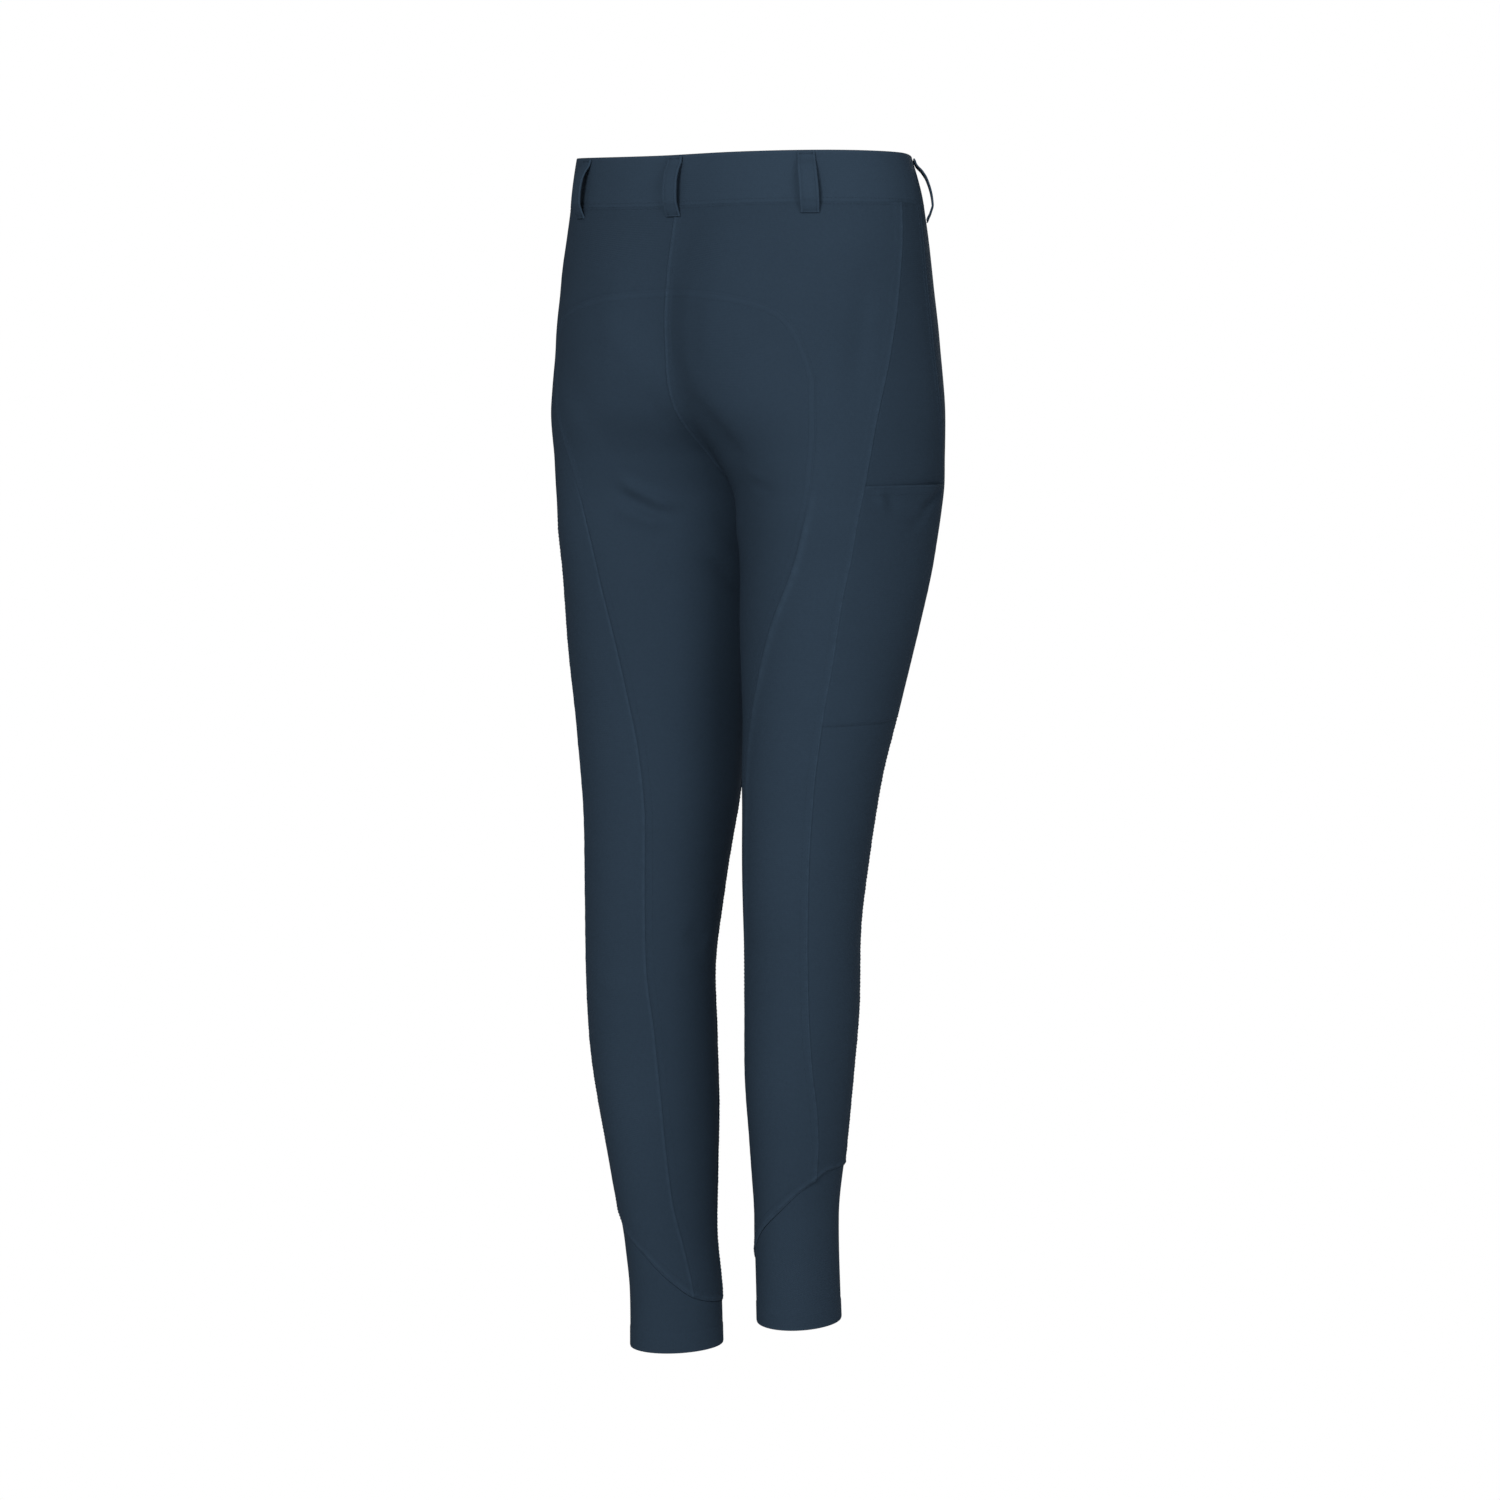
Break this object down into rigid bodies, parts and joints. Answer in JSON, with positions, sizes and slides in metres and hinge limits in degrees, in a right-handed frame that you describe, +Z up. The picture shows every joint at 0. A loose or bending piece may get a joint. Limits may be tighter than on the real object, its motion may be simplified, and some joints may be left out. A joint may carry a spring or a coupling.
{
  "type": "riding breeches",
  "caption": "Full-seat riding breeches worn hollow: waistband with belt loops, panelled legs with thigh pockets, round seat patch and slanted ankle cuffs.",
  "frame": {"origin": "middle of the waist opening, half way up the waistband", "axes": "+Z up toward the waist, the front faces -Y, the wearer's left is +X"},
  "size_m": [0.3514, 0.2283, 1.0022],
  "materials": {
    "softshell": "matte navy stretch softshell",
    "seat_cloth": "matte navy grip cloth",
    "cuff_knit": "thin smooth navy stretch knit",
    "dark_metal": "dark matte button"
  },
  "bodies": {
    "root": {"front_panel_left": "softshell", "side_panel_left": "softshell", "back_panel_left": "softshell", "seat_patch_left": "seat_cloth", "thigh_pocket_left": "softshell", "ankle_cuff_left": "cuff_knit", "belt_loop_back_left": "softshell", "belt_loop_side_left": "softshell", "front_panel_right": "softshell", "side_panel_right": "softshell", "back_panel_right": "softshell", "seat_patch_right": "seat_cloth", "thigh_pocket_right": "softshell", "ankle_cuff_right": "cuff_knit", "belt_loop_back_right": "softshell", "belt_loop_side_right": "softshell", "waistband": "softshell", "belt_loop_back_middle": "softshell", "fly_shield": "softshell", "waist_button": "dark_metal"}
  },
  "joints": []
}
